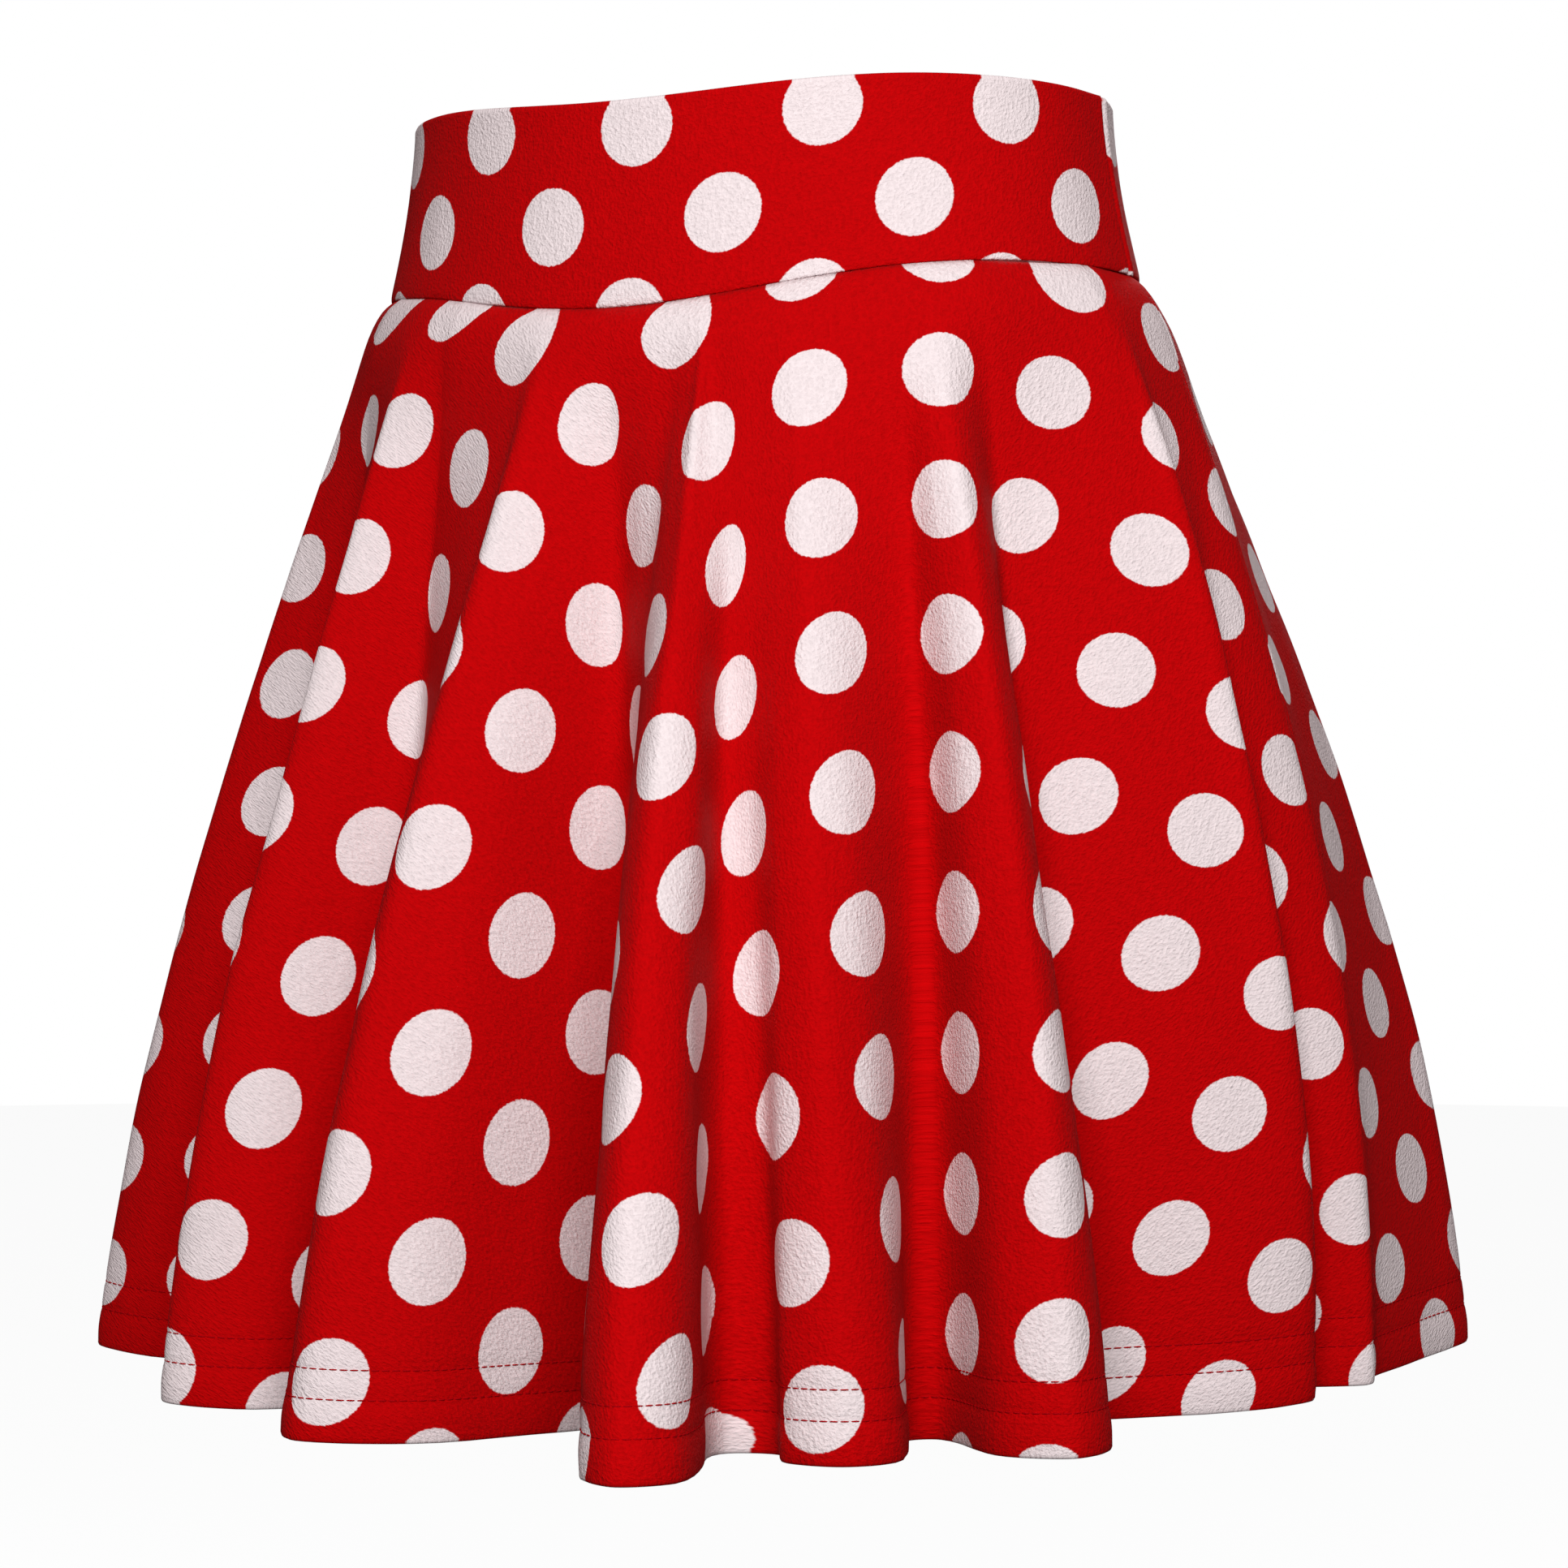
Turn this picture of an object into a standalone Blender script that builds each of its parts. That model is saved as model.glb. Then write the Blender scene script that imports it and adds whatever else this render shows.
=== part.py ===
"""Knit skater skirt on a wide waistband, worn and hollow, at real size.

Frame: metres, +Z up, front towards -Y, the wearer's left towards +X.  The origin lies on the
body's upright axis, half way up the waistband, where the wearer holds the skirt.
An azimuth is measured in degrees from +X through the front (-Y) towards -X.
"""
import math

import bpy
from mathutils import Vector

# Waistband: two layers of cloth with a folded top edge, an ellipse all round.
BAND_TOP_Z = 0.030
SEAM_Z = -0.025
BAND_TOP_HALF_WIDTH = 0.1180
BAND_TOP_HALF_DEPTH = 0.0920
SEAM_HALF_WIDTH = 0.1275
SEAM_HALF_DEPTH = 0.0970
BAND_WALL = 0.0024
BAND_ROWS = 7
BAND_COLUMNS = 40
BAND_FLARE_POWER = 1.5

# The waist dips at the centre front: depth at each edge of the band, and its half width.
TOP_DIP = 0.0066
SEAM_DIP = 0.0140
TOP_DIP_DEGREES = 33.0
SEAM_DIP_DEGREES = 35.5

# Skirt: the cloth swells over the waist seam, then falls to a hem over this ellipse.
SEAM_SWELL = 0.0038
SWELL_LENGTH = 0.006
HEM_HALF_WIDTH = 0.2100
HEM_HALF_DEPTH = 0.1800
HEM_Z = -0.366
HEM_FRONT_DROP = 0.004
FLARE_POWER_LEFT = 1.90
FLARE_POWER_RIGHT = 1.40
RIDGE_LIFT = 0.060
CLOTH_WALL = 0.0013
HEM_WALL = 0.0023
HEM_TURN_UP = 0.022
SKIRT_LENGTH = 0.352
SKIRT_ROWS = 12

# Sewn edges lie this far apart.
SEAM_GAP = 0.0003
BAND_SEAM_AZIMUTH = -4.0

# The folds, in order round the hem.  A fold is one roll of cloth and the valley after it.
# roll_* and valley_*: azimuth in degrees at the waist seam and at the hem.
# out and in: height of the roll and of the valley from the hem's ellipse, mm at the hem.
# half and floor: half widths of the roll and of the valley's floor, mm; lean: mm sideways.
# start: share of the length, from the waist seam, at which the fold begins.
FOLD_COLUMNS = ("name", "roll_top", "roll_hem", "out", "half", "lean", "start",
                "valley_top", "valley_hem", "in", "floor")
FOLD_ROWS = (
    ("left_back_roll", -26, -31, 27, 18, 0, 0.06, -6, -11, -14, 8),
    ("left_side_panel", 13, 2, -18, 21, 0, 0.06, 37, 31, -66, 7),
    ("left_front_roll", 45, 41, 10, 16, 0, 0.09, 50, 50, -51, 4),
    ("centre_panel", 63, 59, 10, 16, 0, 0.07, 70, 67, -23, 7),
    ("centre_roll", 75, 72, 61, 14, 2, 0.03, 88, 83, -80, 5),
    ("right_front_wave", 98, 100, 23, 24, 4, 0.02, 117, 113, -60, 5),
    ("right_front_roll", 125, 122, 10, 17, 2, 0.05, 140, 139, -54, 5),
    ("right_side_roll", 152, 155, 14, 16, 0, 0.05, 166, 170, -44, 6),
    ("right_back_roll", 180, 184, 26, 16, -3, 0.08, 193, 196, -52, 6),
    ("back_right_wave", 205, 210, 14, 20, 2, 0.10, 218, 223, -48, 6),
    ("back_right_roll", 231, 236, 34, 15, 3, 0.06, 243, 247, -58, 6),
    ("back_wave", 256, 260, 16, 19, 0, 0.10, 268, 273, -46, 7),
    ("back_left_roll", 280, 284, 38, 15, -3, 0.05, 292, 296, -58, 6),
    ("back_left_wave", 304, 307, 16, 17, 0, 0.08, 318, 314, -50, 6),
)
LEFT_SEAM_FOLD = "left_back_roll"
RIGHT_SEAM_FOLD = "right_side_roll"

# Shape of one fold: its shoulders lie this share of its depth below the crest, or of their half
# width where that is less, and its valley's floor likewise; its width at the waist seam, as a
# share of that at the hem; and the share of its lean that its shoulders take.
SHOULDER_DROP = 0.30
CREST_ROUND = 0.90
FLOOR_RISE = 0.12
FLOOR_ROUND = 0.70
WIDTH_AT_WAIST = 0.20
SHOULDER_LEAN = 0.5
SOFT_START = 0.25
STEPS_PER_SPAN = 2

# A valley deepens sooner than its roll rises, because the cloth widens steadily all the way
# down: it begins at this share of the roll's start and follows this power of the length.
VALLEY_START = 0.60
VALLEY_POWER = 0.72
VALLEY_SOFTNESS = 0.05

RED = (0.58, 0.004, 0.006, 1.0)
ROUGHNESS = 0.78
METALLIC = 0.0


def clear_scene():
    for item in list(bpy.data.objects):
        bpy.data.objects.remove(item, do_unlink=True)


def cloth_material(name):
    material = bpy.data.materials.new(name)
    material.use_nodes = True
    shader = material.node_tree.nodes["Principled BSDF"]
    shader.inputs["Base Color"].default_value = RED
    shader.inputs["Roughness"].default_value = ROUGHNESS
    shader.inputs["Metallic"].default_value = METALLIC
    material.diffuse_color = RED
    return material


def front_dip(angle, depth, half_width_degrees):
    """How far an edge lies below its side height at an azimuth in radians."""
    offset = math.remainder(angle - math.pi / 2, 2 * math.pi)
    return depth * math.exp(-(offset / math.radians(half_width_degrees)) ** 2)


def seam_height(angle):
    return SEAM_Z - front_dip(angle, SEAM_DIP, SEAM_DIP_DEGREES)


def ellipse_point(half_width, half_depth, angle):
    return Vector((half_width * math.cos(angle), -half_depth * math.sin(angle)))


def ellipse_frame(half_width, half_depth, angle):
    """Outward normal, and the direction in which the azimuth grows."""
    normal = Vector((math.cos(angle) / half_width, -math.sin(angle) / half_depth)).normalized()
    return normal, Vector((normal.y, -normal.x))


def skirt_half_axes(share, angle):
    """Half axes, at an azimuth, of the folds' base at a share of the skirt's length below the
    waist seam.  The wearer's left stands out sooner than the right."""
    leftness = (1 + math.cos(angle)) / 2
    power = FLARE_POWER_RIGHT + (FLARE_POWER_LEFT - FLARE_POWER_RIGHT) * leftness
    flare = 1 - (1 - share) ** power
    swell = SEAM_SWELL * (1 - math.exp(-share * SKIRT_LENGTH / SWELL_LENGTH))
    half_width = SEAM_HALF_WIDTH + (HEM_HALF_WIDTH - SEAM_HALF_WIDTH - SEAM_SWELL) * flare
    half_depth = SEAM_HALF_DEPTH + (HEM_HALF_DEPTH - SEAM_HALF_DEPTH - SEAM_SWELL) * flare
    return half_width + swell, half_depth + swell


def fold_growth(share, start):
    """Nought above a fold's start, one at the hem, with a soft beginning."""
    run = max(0.0, (share - start) / (1 - start))
    soft = run * run / (2 * SOFT_START) if run < SOFT_START else run - SOFT_START / 2
    return soft / (1 - SOFT_START / 2)


def valley_growth(share, start):
    """Nought above a valley's start, one at the hem, and nearly whole well above it."""
    begin = VALLEY_START * start
    run = max(0.0, (share - begin) / (1 - begin))
    return run ** VALLEY_POWER * (1 - math.exp(-run / VALLEY_SOFTNESS))


def fold_controls(share):
    """Named guide points of the section at this share: azimuth, reach out, shift along."""
    width = WIDTH_AT_WAIST + (1 - WIDTH_AT_WAIST) * share
    guides = []
    for values in FOLD_ROWS:
        fold = dict(zip(FOLD_COLUMNS, values))
        growth = fold_growth(share, fold["start"]) / 1000
        roll = math.radians(fold["roll_top"] + (fold["roll_hem"] - fold["roll_top"]) * share)
        valley = math.radians(
            fold["valley_top"] + (fold["valley_hem"] - fold["valley_top"]) * share)
        crest = fold["out"] * growth
        trough = fold["in"] * valley_growth(share, fold["start"]) / 1000
        depth = crest - trough
        lean = fold["lean"] * growth
        half = fold["half"] / 1000 * width
        floor_half = fold["floor"] / 1000 * width
        shoulder = crest - min(SHOULDER_DROP * depth, CREST_ROUND * half)
        floor = trough + min(FLOOR_RISE * depth, FLOOR_ROUND * floor_half)
        guides.append((fold["name"] + ".shoulder_a", roll, shoulder, SHOULDER_LEAN * lean - half))
        guides.append((fold["name"] + ".crest", roll, crest, lean))
        guides.append((fold["name"] + ".shoulder_b", roll, shoulder, SHOULDER_LEAN * lean + half))
        guides.append((fold["name"] + ".floor_a", valley, floor, -floor_half))
        guides.append((fold["name"] + ".floor_b", valley, floor, floor_half))
    return guides


def smooth_span(before, start, end, after, step):
    """Point at a step from 0 to 1 of the centripetal curve from start to end."""
    first = math.sqrt((start - before).length)
    middle = math.sqrt((end - start).length)
    last = math.sqrt((after - end).length)
    leave = (end - start) + middle * ((start - before) / first - (end - before) / (first + middle))
    arrive = (end - start) + middle * ((after - end) / last - (after - start) / (middle + last))
    square, cube = step * step, step ** 3
    return ((2 * cube - 3 * square + 1) * start + (cube - 2 * square + step) * leave
            + (3 * square - 2 * cube) * end + (cube - square) * arrive)


def skirt_section(share):
    """Closed ring of outer points at one share of the skirt's length."""
    points = []
    for _, angle, reach, along in fold_controls(share):
        half_width, half_depth = skirt_half_axes(share, angle)
        normal, tangent = ellipse_frame(half_width, half_depth, angle)
        points.append(ellipse_point(half_width, half_depth, angle)
                      + normal * reach + tangent * along)
    count = len(points)
    ring = []
    for index in range(count):
        for part in range(STEPS_PER_SPAN):
            plan = smooth_span(points[index - 1], points[index], points[(index + 1) % count],
                               points[(index + 2) % count], part / STEPS_PER_SPAN)
            heading = math.atan2(-plan.y, plan.x)
            half_width, half_depth = skirt_half_axes(share, heading)
            azimuth = math.atan2(-plan.y / half_depth, plan.x / half_width)
            base = ellipse_point(half_width, half_depth, azimuth).length
            hem = HEM_Z - HEM_FRONT_DROP * math.sin(azimuth)
            top = seam_height(azimuth) - SEAM_GAP / 2
            lift = RIDGE_LIFT * (plan.length - base) * share
            ring.append(Vector((plan.x, plan.y, top + (hem - top) * share + lift)))
    return ring


def skirt_shares():
    """Rows down the skirt, close under the waist seam, with one where the hem is turned up."""
    turn = 1 - HEM_TURN_UP / SKIRT_LENGTH
    under_seam = SWELL_LENGTH / SKIRT_LENGTH
    body = [under_seam + (turn - under_seam) * row / (SKIRT_ROWS - 3)
            for row in range(SKIRT_ROWS - 2)]
    return [0.0] + body + [1.0]


def ring_index(fold_name):
    """Column on the middle of the valley that follows a fold."""
    names = [guide[0] for guide in fold_controls(1.0)]
    return names.index(fold_name + ".floor_a") * STEPS_PER_SPAN + STEPS_PER_SPAN // 2


def ring_normals(rings):
    """Outward normal at each point of a stack of closed rings, from its neighbours.
    It is level in the first and last ring, so that a wall's edges stay level."""
    normals = []
    for row, ring in enumerate(rings):
        above = rings[max(row - 1, 0)]
        below = rings[min(row + 1, len(rings) - 1)]
        count = len(ring)
        normals.append([(above[place] - below[place])
                        .cross(ring[(place + 1) % count] - ring[place - 1]).normalized()
                        for place in range(count)])
    for edge in (0, -1):
        normals[edge] = [Vector((normal.x, normal.y, 0)).normalized() for normal in normals[edge]]
    return normals


def pull_ends_in(rows, distance):
    """Shorten each row by a distance at both ends, along itself."""
    for row in rows:
        row[0] = row[0] + (row[1] - row[0]).normalized() * distance
        row[-1] = row[-1] + (row[-2] - row[-1]).normalized() * distance


def wall_panel(name, rings, first, last, walls):
    """Closed cloth wall from one column of the rings to another: the outer grid, the same
    grid moved in by each row's wall, and four narrow edges."""
    count = len(rings[0])
    columns = [(first + step) % count for step in range((last - first) % count + 1)]
    rows = [[ring[column].copy() for column in columns] for ring in rings]
    pull_ends_in(rows, SEAM_GAP / 2)
    normals = ring_normals(rings)
    row_count, column_count = len(rows), len(columns)
    outer = [point for row in rows for point in row]
    inner = [rows[row][place] - normals[row][column] * walls[row]
             for row in range(row_count) for place, column in enumerate(columns)]
    shift = len(outer)
    faces = []
    for row in range(row_count - 1):
        for column in range(column_count - 1):
            corner = row * column_count + column
            square = (corner, corner + 1, corner + column_count + 1, corner + column_count)
            faces.append(square)
            faces.append(tuple(shift + place for place in reversed(square)))
    top = list(range(column_count))
    right = [row * column_count + column_count - 1 for row in range(row_count)]
    bottom = [(row_count - 1) * column_count + column for column in reversed(range(column_count))]
    left = [row * column_count for row in reversed(range(row_count))]
    border = top + right[1:] + bottom[1:] + left[1:-1]
    for place, corner in enumerate(border):
        following = border[(place + 1) % len(border)]
        faces.append((following, corner, shift + corner, shift + following))
    mesh = bpy.data.meshes.new(name)
    mesh.from_pydata([tuple(point) for point in outer + inner], [], faces)
    mesh.validate()
    mesh.update()
    item = bpy.data.objects.new(name, mesh)
    item.data.materials.append(cloth_material(name + "_cloth"))
    bpy.context.scene.collection.objects.link(item)
    return item


def skirt_walls(shares):
    """The cloth is double where the hem is turned up."""
    turn_up = 1 - HEM_TURN_UP / SKIRT_LENGTH
    return [HEM_WALL if share >= turn_up else CLOTH_WALL for share in shares]


def band_ring(share):
    """Closed ring of outer points round the band at a share of its height below the top,
    starting at the side seam on the wearer's left."""
    flare = share ** BAND_FLARE_POWER
    half_width = BAND_TOP_HALF_WIDTH + (SEAM_HALF_WIDTH - BAND_TOP_HALF_WIDTH) * flare
    half_depth = BAND_TOP_HALF_DEPTH + (SEAM_HALF_DEPTH - BAND_TOP_HALF_DEPTH) * flare
    front_sweep = math.radians(180 - 2 * BAND_SEAM_AZIMUTH)
    back_sweep = 2 * math.pi - front_sweep
    ring = []
    for step in range(2 * BAND_COLUMNS):
        along = step / BAND_COLUMNS
        sweep = front_sweep * min(along, 1) + back_sweep * max(along - 1, 0)
        angle = math.radians(BAND_SEAM_AZIMUTH) + sweep
        top = BAND_TOP_Z - front_dip(angle, TOP_DIP, TOP_DIP_DEGREES)
        bottom = seam_height(angle) + SEAM_GAP / 2
        plan = ellipse_point(half_width, half_depth, angle)
        ring.append(Vector((plan.x, plan.y, top + (bottom - top) * share)))
    return ring


def build():
    clear_scene()
    shares = skirt_shares()
    skirt = [skirt_section(share) for share in shares]
    walls = skirt_walls(shares)
    left, right = ring_index(LEFT_SEAM_FOLD), ring_index(RIGHT_SEAM_FOLD)
    wall_panel("skirt_front", skirt, left, right, walls)
    wall_panel("skirt_back", skirt, right, left, walls)
    band = [band_ring(row / (BAND_ROWS - 1)) for row in range(BAND_ROWS)]
    walls = [BAND_WALL] * BAND_ROWS
    wall_panel("waistband_front", band, 0, BAND_COLUMNS, walls)
    wall_panel("waistband_back", band, BAND_COLUMNS, 0, walls)


build()
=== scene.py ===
"""Looks of a red dotted skater skirt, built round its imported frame.

Metres, +Z up, the front towards -Y and the wearer's left towards +X.  An azimuth is in degrees
from +X through the front towards -X.  A share runs from 0 at the waist seam to 1 at the hem.
"""
import math

import bmesh
import bpy
import numpy as np
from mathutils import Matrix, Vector, noise


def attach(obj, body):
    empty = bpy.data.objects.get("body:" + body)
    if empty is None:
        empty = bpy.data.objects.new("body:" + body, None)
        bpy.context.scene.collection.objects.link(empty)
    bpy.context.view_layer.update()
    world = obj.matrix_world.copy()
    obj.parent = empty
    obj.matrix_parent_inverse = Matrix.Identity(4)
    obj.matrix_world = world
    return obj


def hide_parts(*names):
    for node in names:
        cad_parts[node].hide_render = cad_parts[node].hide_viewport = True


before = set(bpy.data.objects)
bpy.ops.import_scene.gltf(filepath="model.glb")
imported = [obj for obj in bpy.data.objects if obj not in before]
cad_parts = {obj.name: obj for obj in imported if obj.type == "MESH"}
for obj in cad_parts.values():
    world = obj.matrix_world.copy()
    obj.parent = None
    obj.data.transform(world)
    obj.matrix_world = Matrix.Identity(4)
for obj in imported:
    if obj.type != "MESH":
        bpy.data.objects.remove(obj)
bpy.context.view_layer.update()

bl_info = {
    "name": "Dotted Skater Skirt",
    "version": (1, 0, 0),
    "blender": (4, 5, 0),
    "location": "3D View > Sidebar > Skirt",
    "description": "Makes the cloth, sewing and stage of a flared dotted skirt",
    "category": "Object",
}

# Waistband and waist seam, as in the solids.
BAND_TOP_Z = 0.030
SEAM_Z = -0.025
BAND_HEIGHT = BAND_TOP_Z - SEAM_Z
BAND_TOP_HALVES = (0.1180, 0.0920)
SEAM_HALVES = (0.1275, 0.0970)
BAND_FLARE_POWER = 1.5
BAND_SEAM_AZIMUTH = -4.0
BAND_WALL = 0.0024
TOP_DIP = 0.0066
SEAM_DIP = 0.0140
TOP_DIP_DEGREES = 33.0
SEAM_DIP_DEGREES = 35.5

# Skirt, as in the solids.
SEAM_SWELL = 0.0038
SWELL_LENGTH = 0.006
HEM_HALVES = (0.2100, 0.1800)
HEM_Z = -0.366
HEM_FRONT_DROP = 0.004
FLARE_POWER_LEFT = 1.90
FLARE_POWER_RIGHT = 1.40
RIDGE_LIFT = 0.060
SKIRT_LENGTH = 0.352
HEM_TURN_UP = 0.022
TURN_UP_SHARE = 1 - HEM_TURN_UP / SKIRT_LENGTH

# Folds in order round the hem: a roll of cloth and the valley after it.  Azimuths at the waist
# seam and at the hem; heights from the hem's ellipse, half widths and lean in mm; start: share.
# tuck_mid and tuck_hem: mm of cloth lost from sight in the valley, half way down and at the hem.
FOLD_COLUMNS = ("name", "roll_top", "roll_hem", "out", "half", "lean", "start",
                "valley_top", "valley_hem", "in", "floor", "tuck_mid", "tuck_hem")
FOLD_ROWS = (
    ("left_back_roll", -26, -31, 27, 18, 0, 0.06, -6, -11, -14, 8, 0, 0),
    ("left_side_panel", 13, 2, -18, 21, 0, 0.06, 37, 31, -66, 7, -10, 20),
    ("left_front_roll", 45, 41, 10, 16, 0, 0.09, 50, 50, -51, 4, -15, -20),
    ("centre_panel", 63, 59, 10, 16, 0, 0.07, 70, 67, -23, 7, 10, -30),
    ("centre_roll", 75, 72, 61, 14, 2, 0.03, 88, 83, -80, 5, 5, 0),
    ("right_front_wave", 98, 100, 23, 24, 4, 0.02, 117, 113, -60, 5, 0, 0),
    ("right_front_roll", 125, 122, 10, 17, 2, 0.05, 140, 139, -54, 5, 0, 0),
    ("right_side_roll", 152, 155, 14, 16, 0, 0.05, 166, 170, -44, 6, 0, 0),
    ("right_back_roll", 180, 184, 26, 16, -3, 0.08, 193, 196, -52, 6, 0, 0),
    ("back_right_wave", 205, 210, 14, 20, 2, 0.10, 218, 223, -48, 6, 0, 0),
    ("back_right_roll", 231, 236, 34, 15, 3, 0.06, 243, 247, -58, 6, 0, 0),
    ("back_wave", 256, 260, 16, 19, 0, 0.10, 268, 273, -46, 7, 0, 0),
    ("back_left_roll", 280, 284, 38, 15, -3, 0.05, 292, 296, -58, 6, 0, 0),
    ("back_left_wave", 304, 307, 16, 17, 0, 0.08, 318, 314, -50, 6, 0, 0),
)
FOLDS = [dict(zip(FOLD_COLUMNS, row)) for row in FOLD_ROWS]
GUIDE_KINDS = ("shoulder_a", "crest", "shoulder_b", "floor_a", "floor_b")
LEFT_SEAM_FOLD = "left_back_roll"
RIGHT_SEAM_FOLD = "right_side_roll"

# A fold's shoulders lie this share of its height below the crest, or this share of its half width
# where that is less, and its floor's edges lie above the trough in the same way.  Then its width
# at the waist seam, its shoulders' share of the lean, and how rolls and valleys grow downwards.
SHOULDER_DROP = 0.30
CREST_ROUND = 0.90
FLOOR_RISE = 0.12
FLOOR_ROUND = 0.70
WIDTH_AT_WAIST = 0.20
SHOULDER_LEAN = 0.5
SOFT_START = 0.25
VALLEY_START = 0.60
VALLEY_POWER = 0.72
VALLEY_SOFTNESS = 0.05

# Soft creases on the skirt, troughs below nought and ridges above: azimuths and shares of the
# length where each begins and ends, depth in mm, half width in mm.  Between its ends a crease
# grows and fades as half a sine wave to this power.
CREASE_FADE_POWER = 0.7
CREASE_COLUMNS = ("from_azimuth", "to_azimuth", "from_share", "to_share", "depth", "half")
CREASE_ROWS = (
    (76, 80, 0.02, 0.42, -2.2, 3.5),
    (66, 62, 0.10, 0.55, 1.2, 9),
    (57, 52, 0.28, 0.85, -1.1, 8),
    (104, 109, 0.04, 0.50, -1.8, 7),
    (95, 93, 0.22, 0.80, 1.3, 8),
    (112, 106, 0.45, 0.97, -1.2, 9),
    (132, 129, 0.06, 0.60, -1.4, 7),
    (30, 22, 0.12, 0.70, -1.6, 10),
    (18, 10, 0.35, 0.95, 1.4, 11),
    (-2, 4, 0.05, 0.45, -1.2, 8),
    (158, 163, 0.05, 0.55, -1.5, 7),
    (178, 176, 0.20, 0.80, 1.3, 9),
    (200, 206, 0.04, 0.50, -1.7, 8),
    (226, 222, 0.30, 0.90, -1.2, 9),
    (250, 254, 0.05, 0.48, -1.8, 7),
    (263, 261, 0.35, 0.95, 1.3, 10),
    (276, 279, 0.10, 0.62, -1.3, 8),
    (300, 303, 0.04, 0.52, -1.7, 8),
    (322, 318, 0.28, 0.88, 1.2, 10),
    (337, 333, 0.08, 0.60, -1.5, 8),
)

# Flat cut of the skirt: part of a ring, from this radius at the waist, over this many degrees.
FLAT_WAIST_RADIUS = 0.139
FLAT_DEGREES = 296.0

# The print takes the cut edges to lie this far outside that ring, in metres: waist edge and hem
# edge, at the sides and at the centres of front and back.
CUT_AT_SIDES = (-0.014, 0.020)
CUT_AT_CENTRES = (0.014, -0.010)

# Where the dots' square grid lies on the cloth: its place on the skirt in grid steps, the fold
# from which the cloth is measured round and how far from its crest that line lies, and on the
# band the spacing in a row and one dot's distances from the centre front and the top edge.
SKIRT_GRID_ACROSS = 1.28
SKIRT_GRID_DOWN = -4.07
ANCHOR_FOLD = "left_front_roll"
ANCHOR_AT_WAIST = -0.018
ANCHOR_AT_HEM = 0.038
BAND_DOT_SPACING = 0.0585
BAND_DOT_ACROSS = 0.0070
BAND_DOT_DOWN = 0.0077

# The camera: level, at this height and distance from the body's axis.  Its azimuth and the
# lights' count from the front towards the wearer's left.
CAMERA_AZIMUTH = 28.0
CAMERA_DISTANCE = 1.25
CAMERA_HEIGHT = -0.183
CAMERA_LENS = 88.5
CAMERA_SENSOR = 36.0
CAMERA_SHIFT = 0.0163

# Fineness of the meshes: steps between two guide points; rows as shares down the skirt and, as
# first, last and number, down the band; and the turns in degrees that round a folded edge.
STEPS_PER_SPAN = 8
WAIST_ROWS = (0.0, 0.004, 0.009, 0.016)
BODY_FROM, BODY_ENDS_ABOVE_TURN_UP, BODY_ROWS = 0.024, 0.008, 92
HEM_ROWS = 16
BAND_ROWS = ((0, 0.06, 5), (0.09, 0.93, 26), (0.95, 1.0, 6))
BAND_COLUMNS = 480
EDGE_TURNS = (45, 90, 135)

# Uneven waves on the cloth: lengths across and down in metres, a seed, and height in metres.
# The skirt's grow from the waist seam and are full from a share.  Puckers lie along the hem.
SKIRT_RIPPLES = ((0.028, 0.140, 3.3, 0.0011), (0.010, 0.055, 9.7, 0.00035))
BAND_RIPPLES = ((0.034, 0.060, 14.3, 0.0007), (0.007, 0.050, 21.6, 0.00022))
RIPPLES_FULL_FROM = 0.05
PUCKER_ACROSS, PUCKER_DOWN, PUCKER_SEED, PUCKER_HEIGHT = 0.0065, 0.030, 5.4, 0.00040

# Sewn edges: depths and heights with the reach of each, in metres, or in columns beside a seam.
SEAM_GROOVE, SEAM_GROOVE_COLUMNS = 0.0009, 1.1
SEAM_TUCK = 0.0012
WAIST_CURL, WAIST_CURL_REACH = 0.0010, 0.0012
STITCH_SINK, STITCH_SINK_REACH = 0.00030, 0.0011
HEM_SWELL, HEM_SWELL_AT, HEM_SWELL_REACH = 0.00035, 0.0055, 0.0045
PUCKER_AT, PUCKER_REACH = 0.017, 0.010
HEM_LAYERS = 2.1
BAND_CURL, BAND_CURL_REACH = 0.0009, 0.0011
BAND_RIDGE, BAND_RIDGE_COLUMNS = 0.0010, 4.2
BAND_GROOVE, BAND_GROOVE_COLUMNS = 0.0018, 1.0

# One stitch: its share of the pitch, its shape as places along it and thickness there, and how
# high its ends and its middle stand on the cloth, in thread thicknesses.
STITCH_SHARE = 0.86
THREAD_SIDES = 5
THREAD_SHAPE = ((0.0, 0.0), (0.14, 0.85), (0.5, 1.0), (0.86, 0.85), (1.0, 0.0))
THREAD_REST, THREAD_ARCH = 0.05, 0.35

# Finishes.  Grain is in cells to a metre; a dot's edge is ragged and blurred by these widths in
# metres; shades are factors on a colour; mixes are of pebbles and crinkle.  The knit's red and
# dots are paler where its relief stands high and darker in its hollows: painted shade of the
# relief.
EDGE_GRAIN, PEBBLE_GRAIN, CRINKLE_GRAIN, CLOUD_GRAIN = 900.0, 1000.0, 560.0, 18.0
CRINKLE_STRETCH = (1.0, 0.60, 1.0)
DOT_EDGE_RAGGED, DOT_EDGE_BLUR = 0.0009, 0.00022
SHADE_MIX, RELIEF_MIX = (0.6, 0.4), (0.65, 0.35)
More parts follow.
